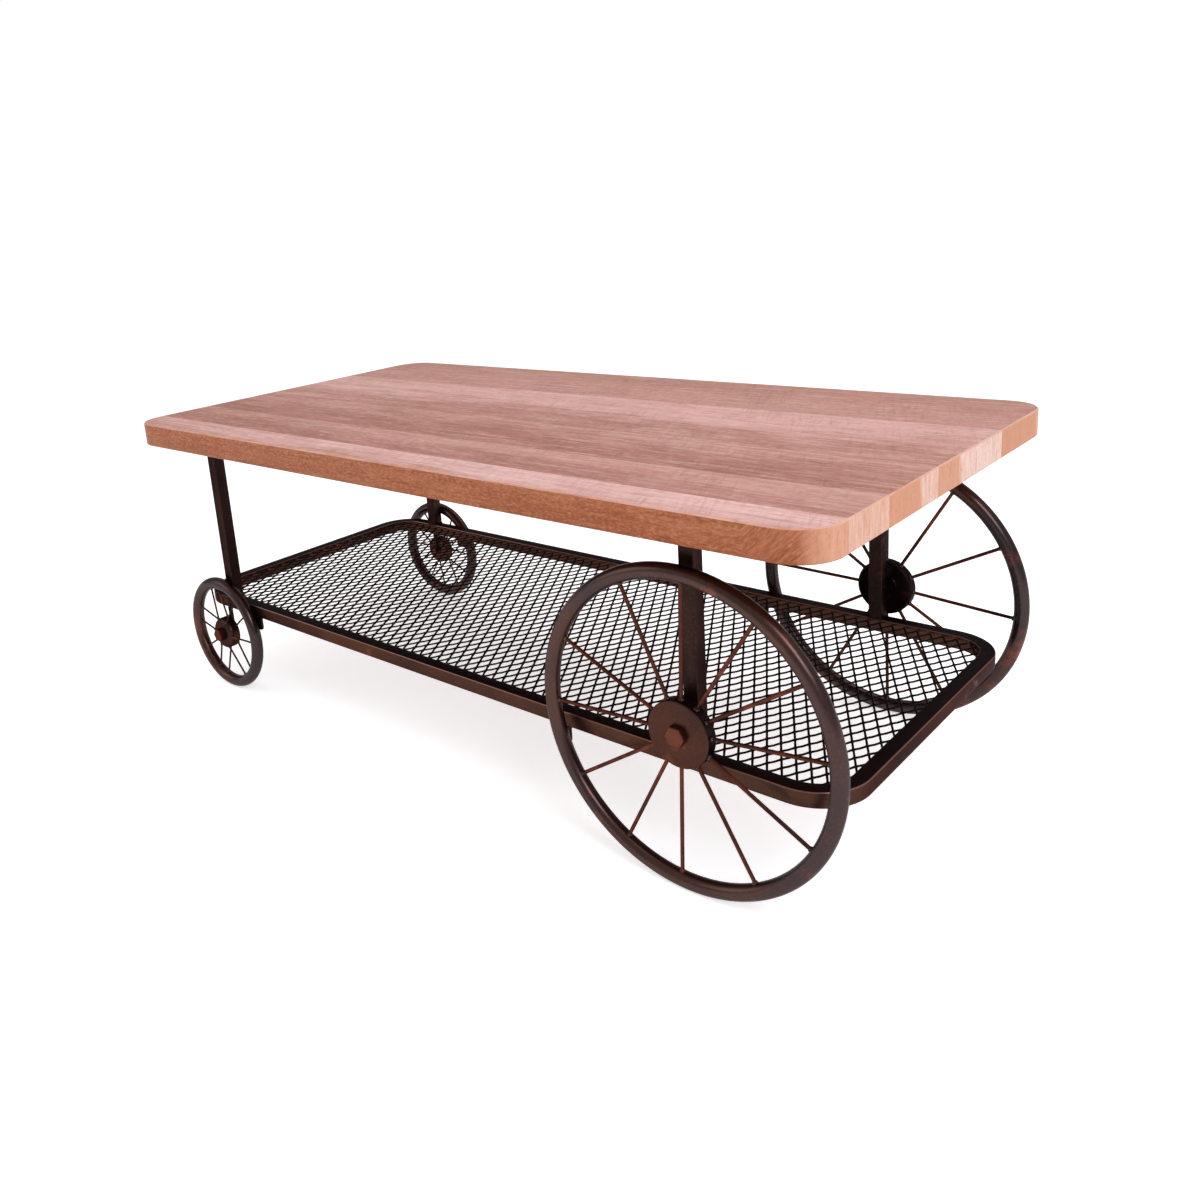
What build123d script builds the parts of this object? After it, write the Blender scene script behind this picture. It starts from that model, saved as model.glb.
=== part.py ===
"""Wagon wheel table.

A plank top stands on four square-tube legs. The legs stand on a frame of the same
tube that holds an expanded-metal shelf. Two large spoked wheels turn on bolts
through the right-hand legs, and two small ones turn on bolts in straps under the
frame's left end.

Millimetres, +Z up. The origin lies on the floor under the middle of the top.
The front is -Y, and the large wheels are at the +X end.
"""

from math import ceil, cos, radians, sin, tan
import os

from build123d import *

# Tabletop
table_length = 1198
table_width = 615
table_height = 460
top_thickness = 35
top_corner_radius = 48
top_edge_chamfer = 1.5
# Widths from the front edge. One more board takes the rest of the width.
board_widths = [54, 85, 120, 186]

# Square tube of the legs and the shelf frame
tube_size = 19
tube_wall = 1.5

# Shelf frame: how far the top reaches past it, and its bends
side_overhang = 69
left_overhang = 2
right_overhang = 13
frame_top = 155.5
frame_corner_radius = 64

# Legs, from the frame's ends to each leg's middle, and their top plates
left_leg_inset = 99
right_leg_inset = 176
plate_size = 58
plate_thickness = 3
plate_corner_chamfer = 6

# Expanded-metal shelf: two crossing layers of strands inside a narrow edge
mesh_drop = 2.5
mesh_layer_thickness = 1.75
mesh_pitch = 17.67
mesh_lean = 60.4
strand_width = 2.4
mesh_edge_width = 3
mesh_clearance = 0.2

# Wheels: rim tube, rod spokes and a hub that turns on a bolt. The rim is drawn
# with flat sides, eight round the tube and many round the wheel.
rim_tube_radius = 9.5
rim_facets = 48
spoke_sides = 6
weld_gap = 0.1
running_clearance = 0.05
side_play = 0.2

# Large wheels, on the right-hand legs. The hub is a cup whose open back faces the
# leg, with a boss in its middle that reaches to the leg.
large_wheel_radius = 192
large_hub_radius = 39
large_hub_thickness = 16
large_hub_wall = 3
large_boss_radius = 11
large_boss_length = 11.3
large_spoke_radius = 2.3
large_axle_radius = 5

# Small wheels, in straps under the side rails. Their spokes start by turns from the
# front and the rear of a thick hub.
small_wheel_radius = 95.5
small_hub_radius = 26
small_hub_thickness = 20
small_spoke_radius = 1.5
small_spoke_stagger = 6.5
small_axle_radius = 4
# How far the small wheels' axles are to the left of the left-hand legs
small_wheel_set_out = 12
strap_eye_radius = 7
strap_neck_width = 6
strap_thickness = 5

# Degrees by which each hand-welded spoke stands off its even place round the hub
large_front_sway = [6, 3, -2, -2, -5, 5, 3, 4, 3, -2, 0, 1]
large_back_sway = [1, 4, -3, 0, 1, 2, 4, 1, 0, -1, 0, -1]
small_front_sway = [-2, 4, -2, 6, -8, 6, -4, 1, 2, -10, -1, -12]
small_back_sway = [0] * 12

# Axle bolts, and the nuts inside the right-hand legs
axle_hole_clearance = 0.2
large_head_flats = 22
large_head_height = 7
small_head_flats = 19
small_head_height = 9
head_chamfer = 1
nut_clearance = 0.25
nut_height = 8
bolt_end_length = 3

# Tabs under the side rails, behind the rims, from each wheel's axle
tab_length = 35
tab_drop = 21.5
tab_thickness = 4
tab_chamfer = 4
large_tab_offset = -191.5
small_tab_offset = 77.5

# Places that follow from the sizes above
half_tube = tube_size / 2
top_underside = table_height - top_thickness
plate_underside = top_underside - plate_thickness
frame_left = -table_length / 2 + left_overhang
frame_right = table_length / 2 - right_overhang
frame_side = table_width / 2 - side_overhang
frame_length = frame_right - frame_left
frame_middle = (frame_left + frame_right) / 2
frame_underside = frame_top - tube_size
leg_side = frame_side - half_tube
left_leg = frame_left + left_leg_inset
right_leg = frame_right - right_leg_inset
small_wheel_place = left_leg - small_wheel_set_out
large_wheel_side = frame_side + side_play + large_boss_length + large_hub_thickness / 2
small_wheel_side = frame_side + side_play + small_hub_thickness / 2

os.makedirs("parts", exist_ok=True)


def save(name, piece):
    """Label a finished piece and write its file."""
    piece.label = name
    export_step(piece, f"parts/{name}.step")


def side_sign(side):
    """The direction along Y that points outwards on this side."""
    return -1 if side == "front" else 1


# Tabletop ---------------------------------------------------------------------

with BuildPart() as slab:
    with BuildSketch(Plane.XY.offset(top_underside)):
        RectangleRounded(table_length, table_width, top_corner_radius)
    extrude(amount=top_thickness)
    outline = slab.edges().group_by(Axis.Z)
    chamfer(outline[0] + outline[-1], top_edge_chamfer)

board_front = -table_width / 2
for number, width in enumerate([*board_widths, table_width - sum(board_widths)], 1):
    with BuildPart() as board:
        add(slab.part)
        with Locations((0, board_front + width / 2, table_height - top_thickness / 2)):
            Box(table_length + 2, width, top_thickness + 2, mode=Mode.INTERSECT)
    save(f"top_board_{number}", board.part)
    board_front += width


# Legs and leg plates ------------------------------------------------------------

def tube_section():
    """Draw the square tube's section in the sketch that is open."""
    Rectangle(tube_size, tube_size)
    Rectangle(tube_size - 2 * tube_wall, tube_size - 2 * tube_wall, mode=Mode.SUBTRACT)


for end, leg in (("left", left_leg), ("right", right_leg)):
    for side in ("front", "back"):
        leg_y = side_sign(side) * leg_side
        with BuildPart() as post:
            with BuildSketch(Plane((leg, leg_y, frame_top))):
                tube_section()
            extrude(amount=plate_underside - frame_top)
            if end == "right":
                outer_face = (leg, side_sign(side) * frame_side, large_wheel_radius)
                with BuildSketch(Plane(outer_face, z_dir=(0, -side_sign(side), 0))):
                    Circle(large_axle_radius + axle_hole_clearance)
                extrude(amount=2 * tube_wall, mode=Mode.SUBTRACT)
        save(f"leg_{side}_{end}", post.part)

        with BuildPart() as plate:
            with BuildSketch(Plane((leg, leg_y, plate_underside))) as plate_outline:
                Rectangle(plate_size, plate_size)
                chamfer(plate_outline.vertices(), plate_corner_chamfer)
            extrude(amount=plate_thickness)
        save(f"leg_plate_{side}_{end}", plate.part)


# Shelf frame --------------------------------------------------------------------

def shelf_frame_ring(inset):
    """Draw the bent tube's outline in the open sketch, this far inside its walls."""
    for edge, mode in ((inset, Mode.ADD), (tube_size - inset, Mode.SUBTRACT)):
        RectangleRounded(
            frame_length - 2 * edge, 2 * (frame_side - edge), frame_corner_radius - edge, mode=mode
        )


with BuildPart() as shelf_frame:
    with BuildSketch(Plane((frame_middle, 0, frame_underside))):
        shelf_frame_ring(0)
    extrude(amount=tube_size)
    with BuildSketch(Plane((frame_middle, 0, frame_underside + tube_wall))):
        shelf_frame_ring(tube_wall)
    extrude(amount=tube_size - 2 * tube_wall, mode=Mode.SUBTRACT)
save("shelf_frame", shelf_frame.part)


# Expanded-metal shelf -----------------------------------------------------------

mesh_length = frame_length - 2 * (tube_size + mesh_clearance)
mesh_width = 2 * (frame_side - tube_size - mesh_clearance)
mesh_corner = frame_corner_radius - tube_size - mesh_clearance
slot_width = mesh_pitch * sin(radians(mesh_lean)) - strand_width
slot_length = mesh_width / sin(radians(mesh_lean)) + mesh_pitch
slot_count = ceil((mesh_length + mesh_width / tan(radians(mesh_lean))) / mesh_pitch) + 1


def mesh_layer(name, bottom, lean):
    """One layer of the mesh: a thin sheet slit into slots that lean one way."""
    with BuildSketch(Plane.XY.offset(bottom)) as slots:
        with Locations((frame_middle, 0)):
            with GridLocations(mesh_pitch, 0, slot_count, 1):
                Rectangle(slot_length, slot_width, rotation=lean)
            RectangleRounded(
                mesh_length - 2 * mesh_edge_width,
                mesh_width - 2 * mesh_edge_width,
                mesh_corner - mesh_edge_width,
                mode=Mode.INTERSECT,
            )
    with BuildPart() as layer:
        with BuildSketch(Plane.XY.offset(bottom)):
            with Locations((frame_middle, 0)):
                RectangleRounded(mesh_length, mesh_width, mesh_corner)
            add(slots.sketch_local, mode=Mode.SUBTRACT)
        extrude(amount=mesh_layer_thickness)
    save(name, layer.part)


mesh_top = frame_top - mesh_drop
mesh_layer("shelf_mesh_upper", mesh_top - mesh_layer_thickness, mesh_lean)
mesh_layer("shelf_mesh_lower", mesh_top - 2 * mesh_layer_thickness, -mesh_lean)


# Wheels ---------------------------------------------------------------------------

def wheel_plane(place, side, distance, height):
    """The wheel's middle plane: local X level, local Y up, local Z outwards."""
    sign = side_sign(side)
    return Plane((place, sign * distance, height), x_dir=(-sign, 0, 0), z_dir=(0, sign, 0))


def make_rim(where, plane, radius):
    """The rim tube, closed to a ring: a flat ring whose edges are cut down to eight sides."""
    half_band = rim_tube_radius * tan(radians(22.5))
    with BuildPart() as rim:
        with BuildSketch(plane.offset(-rim_tube_radius)):
            RegularPolygon(radius, rim_facets)
            RegularPolygon(radius - 2 * rim_tube_radius, rim_facets, mode=Mode.SUBTRACT)
        extrude(amount=2 * rim_tube_radius)
        sides = rim.faces().sort_by(Axis(plane.origin, plane.z_dir))
        chamfer(sides[0].edges() + sides[-1].edges(), rim_tube_radius - half_band)
    save(f"rim_{where}", rim.part)


def make_spokes(where, plane, radius, hub_radius, spoke_radius, sways, stagger):
    """Spokes from the hub to the rim's middle, their inner ends by turns before and behind it."""
    first = hub_radius + weld_gap
    last = (radius - 2 * rim_tube_radius) * cos(radians(180 / rim_facets)) - weld_gap
    slant = spoke_radius * stagger / (last - first)
    with BuildPart() as spokes:
        for number, sway in enumerate(sways):
            angle = radians(number * 360 / len(sways) + sway)
            radial = plane.x_dir * cos(angle) + plane.y_dir * sin(angle)
            set_off = stagger if number % 2 == 0 else -stagger
            start = plane.origin + radial * (first + slant) + plane.z_dir * set_off
            end = plane.origin + radial * (last - slant)
            with BuildSketch(Plane(start, x_dir=radial.cross(plane.z_dir), z_dir=end - start)):
                RegularPolygon(spoke_radius, spoke_sides)
            extrude(amount=(end - start).length)
    save(f"spokes_{where}", spokes.part)


def make_bolt(where, plane, seat, tip, flats, height, axle_radius):
    """An axle bolt: a hex head on its seat, and a plain shank in to its tip."""
    with BuildPart() as bolt:
        with BuildSketch(plane.offset(seat)):
            RegularPolygon(flats / 2, 6, major_radius=False)
        extrude(amount=height)
        outer_face = bolt.faces().sort_by(Axis(plane.origin, plane.z_dir))[-1]
        chamfer(outer_face.edges(), head_chamfer)
        with BuildSketch(plane.offset(tip)):
            Circle(axle_radius)
        extrude(amount=seat - tip)
    save(f"axle_bolt_{where}", bolt.part)


for side, sways in (("front", large_front_sway), ("back", large_back_sway)):
    where = f"large_{side}"
    plane = wheel_plane(right_leg, side, large_wheel_side, large_wheel_radius)
    make_rim(where, plane, large_wheel_radius)
    make_spokes(where, plane, large_wheel_radius, large_hub_radius, large_spoke_radius, sways, 0)

    rear = -large_hub_thickness / 2
    cup_floor = large_hub_thickness / 2 - large_hub_wall
    with BuildPart() as hub:
        with BuildSketch(plane.offset(rear)):
            Circle(large_hub_radius)
        extrude(amount=large_hub_thickness)
        with BuildSketch(plane.offset(rear)):
            Circle(large_hub_radius - large_hub_wall)
        extrude(amount=cup_floor - rear, mode=Mode.SUBTRACT)
        with BuildSketch(plane.offset(rear - large_boss_length)):
            Circle(large_boss_radius)
        extrude(amount=large_boss_length + large_hub_thickness)
        with BuildSketch(plane.offset(rear - large_boss_length)):
            Circle(large_axle_radius + running_clearance)
        extrude(amount=large_boss_length + large_hub_thickness, mode=Mode.SUBTRACT)
    save(f"hub_{where}", hub.part)

    nut_seat = frame_side - tube_wall - large_wheel_side
    bolt_seat = large_hub_thickness / 2 + side_play
    bolt_tip = nut_seat - nut_height - bolt_end_length
    make_bolt(where, plane, bolt_seat, bolt_tip, large_head_flats, large_head_height, large_axle_radius)

    with BuildPart() as nut:
        with BuildSketch(plane.offset(nut_seat)):
            RegularPolygon(half_tube - tube_wall - nut_clearance, 6, major_radius=False, rotation=30)
            Circle(large_axle_radius + running_clearance, mode=Mode.SUBTRACT)
        extrude(amount=-nut_height)
    save(f"axle_nut_{where}", nut.part)

for side, sways in (("front", small_front_sway), ("back", small_back_sway)):
    where = f"small_{side}"
    plane = wheel_plane(small_wheel_place, side, small_wheel_side, small_wheel_radius)
    make_rim(where, plane, small_wheel_radius)
    make_spokes(
        where, plane, small_wheel_radius, small_hub_radius, small_spoke_radius, sways, small_spoke_stagger
    )

    with BuildPart() as hub:
        with BuildSketch(plane.offset(-small_hub_thickness / 2)):
            Circle(small_hub_radius)
            Circle(small_axle_radius + running_clearance, mode=Mode.SUBTRACT)
        extrude(amount=small_hub_thickness)
    save(f"hub_{where}", hub.part)

    strap_face = frame_side - small_wheel_side
    bolt_seat = small_hub_thickness / 2 + side_play
    bolt_tip = strap_face - strap_thickness - bolt_end_length
    make_bolt(where, plane, bolt_seat, bolt_tip, small_head_flats, small_head_height, small_axle_radius)

    strap_rise = frame_underside - small_wheel_radius
    with BuildPart() as strap:
        with BuildSketch(plane.offset(strap_face)):
            Circle(strap_eye_radius)
            Rectangle(strap_neck_width, strap_rise, align=(Align.CENTER, Align.MIN))
            Circle(small_axle_radius + running_clearance, mode=Mode.SUBTRACT)
        extrude(amount=-strap_thickness)
    save(f"axle_strap_{side}", strap.part)


# Tabs -------------------------------------------------------------------------------

for size, tab_place in (
    ("large", right_leg + large_tab_offset),
    ("small", small_wheel_place + small_tab_offset),
):
    for side in ("front", "back"):
        sign = side_sign(side)
        tab_middle = (tab_place, sign * frame_side, frame_underside - tab_drop / 2)
        with BuildPart() as tab:
            with BuildSketch(Plane(tab_middle, x_dir=(1, 0, 0), z_dir=(0, -1, 0))) as tab_outline:
                Rectangle(tab_length, tab_drop)
                chamfer(tab_outline.vertices().group_by(Axis.Y)[0], tab_chamfer)
            extrude(amount=sign * tab_thickness)
        save(f"rim_tab_{size}_{side}", tab.part)
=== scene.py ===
"""Looks of a wagon wheel table.

Planks with a worn pink-brown face, bronzed steel rubbed to copper on its edges, an
expanded-metal shelf and four spoked wheels, on a plain pale floor in soft light.
Everything is in metres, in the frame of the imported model.
"""
from __future__ import annotations

import logging
import math
from dataclasses import dataclass
from enum import Enum

import bmesh
import bpy
from mathutils import Matrix, Vector, noise


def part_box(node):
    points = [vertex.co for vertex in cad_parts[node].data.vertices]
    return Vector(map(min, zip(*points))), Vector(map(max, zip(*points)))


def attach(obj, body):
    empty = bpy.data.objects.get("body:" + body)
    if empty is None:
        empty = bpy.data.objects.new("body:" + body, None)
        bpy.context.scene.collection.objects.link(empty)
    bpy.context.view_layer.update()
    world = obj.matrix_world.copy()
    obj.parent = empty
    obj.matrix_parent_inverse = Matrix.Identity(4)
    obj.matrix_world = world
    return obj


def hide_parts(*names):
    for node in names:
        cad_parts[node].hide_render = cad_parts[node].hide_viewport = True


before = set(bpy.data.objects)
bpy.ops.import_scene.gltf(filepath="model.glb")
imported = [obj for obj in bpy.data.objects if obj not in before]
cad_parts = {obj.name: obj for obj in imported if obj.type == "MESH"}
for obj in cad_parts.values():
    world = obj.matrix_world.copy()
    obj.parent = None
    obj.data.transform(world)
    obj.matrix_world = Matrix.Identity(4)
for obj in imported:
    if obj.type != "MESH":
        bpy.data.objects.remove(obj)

log = logging.getLogger("wagon_wheel_table")

BMesh = bmesh.types.BMesh
Material = bpy.types.Material
Object = bpy.types.Object
Socket = bpy.types.NodeSocket
Triple = tuple[float, float, float]
Colour = Triple


class Side(Enum):
    """The long sides of the table, with the direction along Y that points outwards."""

    FRONT = -1
    BACK = 1

    @property
    def word(self) -> str:
        """The side's name as the nodes spell it."""
        return self.name.lower()


class WheelSize(Enum):
    """The two sizes of wheel."""

    LARGE = "large"
    SMALL = "small"


# Node trees -----------------------------------------------------------------------

# A Mix node's colour sockets, which come after others of the same names
MIX_COLOURS = (6, 7)
MIX_RESULT = 2
COAT_ROUGHNESS = 0.22


class Graph:
    """The node tree of a new material or world, with one short call for each kind of node."""

    def __init__(self, owner: bpy.types.ID, output: str = "OutputMaterial") -> None:
        """Start a tree that holds only its output.

        Args:
            owner: The material or world.
            output: The kind of its output node.
        """
        owner.use_nodes = True
        self.owner = owner
        self.tree = owner.node_tree
        self.tree.nodes.clear()
        self.output = self.node(output)

    def node(self, kind: str, **settings: object) -> bpy.types.Node:
        """Add a node and set its plain properties.

        Args:
            kind: The node type after ``ShaderNode``.
            **settings: Properties of the node.

        Returns:
            The new node.
        """
        made = self.tree.nodes.new("ShaderNode" + kind)
        for key, value in settings.items():
            setattr(made, key, value)
        return made

    def feed(self, socket: Socket, value: object) -> None:
        """Give a socket a link or a constant.

        Args:
            socket: The input socket.
            value: Another socket, a number, a vector or a colour.
        """
        if isinstance(value, Socket):
            self.tree.links.new(value, socket)
        elif isinstance(value, tuple) and len(value) == 3 and socket.type == "RGBA":
            socket.default_value = (*value, 1.0)
        else:
            socket.default_value = value

    def fill(self, made: bpy.types.Node, *sources: object, **inputs: object) -> Socket:
        """Feed a node's inputs.

        Args:
            made: The node.
            *sources: What its first inputs get, in their order.
            **inputs: What the inputs of these names get.

        Returns:
            The node's first output.
        """
        for socket, source in zip(made.inputs, sources):
            self.feed(socket, source)
        for name, source in inputs.items():
            self.feed(made.inputs[name], source)
        return made.outputs[0]

    def place(self) -> Socket:
        """Return the place on the object, in metres."""
        return self.node("TexCoord").outputs["Object"]

    def normal(self) -> Socket:
        """Return the surface's own direction."""
        return self.node("NewGeometry").outputs["Normal"]

    def part(self, vector: object, axis: str) -> Socket:
        """Return one part of a vector.

        Args:
            vector: The vector socket.
            axis: ``X``, ``Y`` or ``Z``.

        Returns:
            The number socket.
        """
        split = self.node("SeparateXYZ")
        self.feed(split.inputs[0], vector)
        return split.outputs[axis]

    def mapped(self, vector: object, **changes: Triple) -> Socket:
        """Change a place by a ``Scale``, ``Rotation`` or ``Location`` before a texture reads it."""
        return self.fill(self.node("Mapping"), Vector=vector, **changes)

    def noise(self, place: Socket, scale: float | Triple, detail: float, rough: float,
              shift: Triple = (0.0, 0.0, 0.0)) -> Socket:
        """Read a fractal noise.

        Args:
            place: The place to read it at.
            scale: Waves in a metre, the same every way or along each axis.
            detail: Octaves.
            rough: Strength of each octave against the last.
            shift: Shift after scaling along each axis, which gives each piece its own figure.

        Returns:
            The number socket, about 0.5 on average.
        """
        if isinstance(scale, tuple):
            place = self.mapped(place, Scale=scale, Location=shift)
            scale = 1.0
        return self.fill(self.node("TexNoise"), Vector=place, Scale=scale, Detail=detail, Roughness=rough)

    def math(self, operation: str, a: object, b: object = 0.0, clamp: bool = False) -> Socket:
        """Combine two numbers by a Math node's operation, kept between 0 and 1 on request."""
        return self.fill(self.node("Math", operation=operation, use_clamp=clamp), a, b)

    def span(self, value: object, low: float, high: float, to_low: float = 0.0,
             to_high: float = 1.0) -> Socket:
        """Map a number from one range to another, held at its ends."""
        return self.fill(self.node("MapRange", clamp=True), value, low, high, to_low, to_high)

    def mix(self, factor: object, a: object, b: object) -> Socket:
        """Blend two colours.

        Args:
            factor: How much of the second.
            a: The first colour.
            b: The second colour.

        Returns:
            The colour socket.
        """
        made = self.node("Mix", data_type="RGBA")
        self.fill(made, factor)
        for index, colour in zip(MIX_COLOURS, (a, b)):
            self.feed(made.inputs[index], colour)
        return made.outputs[MIX_RESULT]

    def tint(self, base: object, colour: Colour, value: object, start: float, end: float,
             most: float) -> Socket:
        """Lay a colour over another where a number runs from a start to an end, strongest at the end."""
        return self.mix(self.span(value, start, end, 0.0, most), base, colour)

    def bump(self, height: object, distance: float, strength: float = 1.0) -> Socket:
        """Tilt the surface by a height, of which 1 stands for a distance in metres."""
        return self.fill(self.node("Bump"), Strength=strength, Distance=distance, Height=height)

    def surface(self, colour: object, roughness: object, normal: object, metallic: object = 0.0,
                specular: float = 0.5, rim_tint: Colour = (1.0, 1.0, 1.0), coat: float = 0.0) -> Material:
        """Close the tree with a principled surface.

        Args:
            colour: Base colour.
            roughness: Roughness.
            normal: Normal.
            metallic: Share of bare metal.
            specular: Strength of the plain reflection.
            rim_tint: Colour of the reflection at a grazing look.
            coat: Strength of a clear coat over it.

        Returns:
            The finished material.
        """
        inputs = {
            "Base Color": colour,
            "Roughness": roughness,
            "Metallic": metallic,
            "Specular IOR Level": specular,
            "Specular Tint": rim_tint,
            "Coat Weight": coat,
            "Coat Roughness": COAT_ROUGHNESS,
            "Normal": normal,
        }
        self.feed(self.output.inputs[0], self.fill(self.node("BsdfPrincipled"), **inputs))
        return self.owner


def srgb(red: float, green: float, blue: float) -> Colour:
    """Turn a colour from 0 to 255 on a screen into a linear one.

    Args:
        red: Red.
        green: Green.
        blue: Blue.

    Returns:
        The linear colour.
    """
    def one(value: float) -> float:
        """Turn one channel."""
        value /= 255
        return value / 12.92 if value <= 0.04045 else ((value + 0.055) / 1.055) ** 2.4

    return one(red), one(green), one(blue)


def between(deep: Colour, pale: Colour, share: float) -> Colour:
    """Return the linear colour a share of the way from a deep to a pale colour, both from 0 to 255."""
    return srgb(*(low + (high - low) * share for low, high in zip(deep, pale)))


# The deep and the pale colour of the planks' faces and sawn ends, from 0 to 255
FACE_WOOD: tuple[Colour, Colour] = ((160, 103, 86), (232, 188, 180))
END_WOOD: tuple[Colour, Colour] = ((224, 157, 122), (252, 216, 200))

# Figure of the faces
BLUSH = srgb(204, 136, 128)
FIBRE = (srgb(126, 70, 58), srgb(240, 202, 192))
SAW_MARK = srgb(124, 72, 60)
# Colour of the painted highlight along the planks' upper chamfer
ARRIS_HIGHLIGHT = srgb(228, 176, 156)

# Figure of the long edges
EDGE_WOOD = (srgb(164, 89, 56), srgb(182, 108, 74))
STREAK = (srgb(126, 62, 34), srgb(216, 148, 104))
FLECK = (srgb(122, 60, 32), srgb(224, 152, 106))
WAVE = srgb(198, 130, 92)
EDGE_HEIGHTS = (0.425, 0.458)

# Figure of the sawn ends
RIPPLE = srgb(208, 142, 106)
PORE = srgb(176, 112, 84)
END_SOFTNESS = 0.0045

# Steel
SPECK = (srgb(26, 19, 18), srgb(128, 86, 68))
# Colour of the painted highlight on the rounded edges of steel tops
EDGE_HIGHLIGHT = srgb(158, 118, 104)
GRAZING_TINT = (0.34, 0.3, 0.32)
MOST_RUST = 0.85
PAINT_METAL = 0.86
RUST_METAL = 0.3


# Finishes -------------------------------------------------------------------------


@dataclass(frozen=True)
class PlankLook:
    """How pale one plank is. A tone is a share of the way from deep wood at 0 to pale wood at 1.

    Attributes:
        dark: Tone of the face along its front side.
        light: Tone of the face along its back side.
        turn: Share of the width at which dark gives way to light.
        drift: How much lighter the face gets towards the right end, and darker towards the left.
        end_front: Tone of the sawn end along its front side.
        end_back: Tone of the sawn end along its back side.
        end_turn: Share of the width at which the one gives way to the other.
    """

    dark: float
    light: float
    turn: float
    drift: float
    end_front: float
    end_back: float
    end_turn: float


@dataclass(frozen=True)
class PlankFinish:
    """One plank: darker along its front side, lighter along its back, with soft figure.

    Attributes:
        front: The plank's front edge along Y.
        back: The plank's back edge along Y.
        seed: Moves the figure, so that no two planks are alike.
        look: The plank's tones.
    """

    front: float
    back: float
    seed: int
    look: PlankLook

    def face(self, graph: Graph, place: Socket) -> Socket:
        """Return the colour seen from above.

        Args:
            graph: The material's nodes.
            place: The place on the object.

        Returns:
            The colour socket.
        """
        look = self.look
        shift = (self.seed * 3.7, self.seed * 5.1, self.seed * 2.3)
        across = graph.span(graph.part(place, "Y"), self.front, self.back)
        cloud = graph.noise(place, (2.2, 12.0, 12.0), 4.0, 0.6, shift)
        band = graph.noise(place, (3.4, 60.0, 60.0), 5.0, 0.62, shift)
        blotch = graph.noise(place, (14.0, 36.0, 36.0), 4.0, 0.62, shift)
        moved = graph.math("ADD", across, graph.span(cloud, 0.3, 0.7, -0.3, 0.3))
        tone = graph.span(moved, look.turn - 0.32, look.turn + 0.38)
        along = graph.span(graph.part(place, "X"), -0.6, 0.6, -look.drift, look.drift)
        for change in (along, graph.span(band, 0.3, 0.7, -0.24, 0.24)):
            tone = graph.math("ADD", tone, change)
        tone = graph.math("ADD", tone, graph.span(blotch, 0.3, 0.7, -0.34, 0.34), clamp=True)
        colour = graph.mix(tone, between(*FACE_WOOD, look.dark), between(*FACE_WOOD, look.light))
        blush = graph.noise(place, (6.0, 22.0, 22.0), 3.0, 0.55, (1.9, self.seed * 4.3, 0.0))
        colour = graph.tint(colour, BLUSH, blush, 0.48, 0.68, 0.3)
        colour = self._fibre(graph, place, shift, colour)
        return graph.mix(self._saw_marks(graph, place, shift), colour, SAW_MARK)

    def _fibre(self, graph: Graph, place: Socket, shift: Triple, colour: Socket) -> Socket:
        """Draw the fine dark and light lines along the grain.

        Args:
            graph: The material's nodes.
            place: The place on the object.
            shift: The shift of the plank's figure.
            colour: The colour below.

        Returns:
            The colour socket.
        """
        long_line = graph.noise(place, (9.0, 190.0, 190.0), 4.0, 0.68, shift)
        short_line = graph.noise(place, (70.0, 560.0, 560.0), 3.0, 0.68, shift)
        for line, strength in ((long_line, 0.38), (short_line, 0.34)):
            colour = graph.tint(colour, FIBRE[0], line, 0.5, 0.7, strength)
            colour = graph.tint(colour, FIBRE[1], line, 0.48, 0.3, strength)
        return colour

    def _saw_marks(self, graph: Graph, place: Socket, shift: Triple) -> Socket:
        """Return how dark the fine marks across the grain are: some patches have more.

        Args:
            graph: The material's nodes.
            place: The place on the object.
            shift: The shift of the plank's figure.

        Returns:
            The number socket.
        """
        patch = graph.noise(place, (8.0, 18.0, 18.0), 3.0, 0.55, shift)
        marks = 0.0
        for turn, fineness, strength in ((-24.0, 260.0, 0.22), (-6.0, 190.0, 0.18)):
            turned = graph.mapped(place, Rotation=(0.0, 0.0, math.radians(turn)))
            mark = graph.noise(turned, (fineness, 15.0, 15.0), 3.0, 0.65, shift)
            marks = graph.math("ADD", graph.span(mark, 0.5, 0.68, 0.0, strength), marks)
        return graph.math("MULTIPLY", marks, graph.span(patch, 0.36, 0.6, 0.15, 1.0))

    def material(self) -> Material:
        """Build the plank's material: its face, its long edge, its sawn ends and a painted highlight on its
        upper chamfer.

        Returns:
            The finished material.
        """
        graph = Graph(bpy.data.materials.new(f"plank_{self.seed}"))
        place = graph.place()
        normal = graph.normal()
        up = graph.part(normal, "Z")
        endwise = graph.math("ABSOLUTE", graph.part(normal, "X"))
        side = graph.mix(graph.span(endwise, 0.45, 0.9), self._edge(graph, place), self._ends(graph, place))
        # The upper chamfer gets a painted highlight, broken up by noise.
        highlight_share = graph.span(graph.noise(place, 16.0, 4.0, 0.6), 0.35, 0.62, 0.35, 0.95)
        arris = graph.mix(graph.math("MULTIPLY", graph.span(up, 0.3, 0.6), highlight_share), side, ARRIS_HIGHLIGHT)
        colour = graph.mix(graph.span(up, 0.8, 0.95), arris, self.face(graph, place))
        grain = graph.noise(place, (30.0, 500.0, 500.0), 3.0, 0.6)
        height = graph.bump(grain, 0.00025, 0.6)
        rough = graph.span(grain, 0.3, 0.7, 0.46, 0.6)
        return graph.surface(colour, rough, height, specular=0.22)

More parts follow.
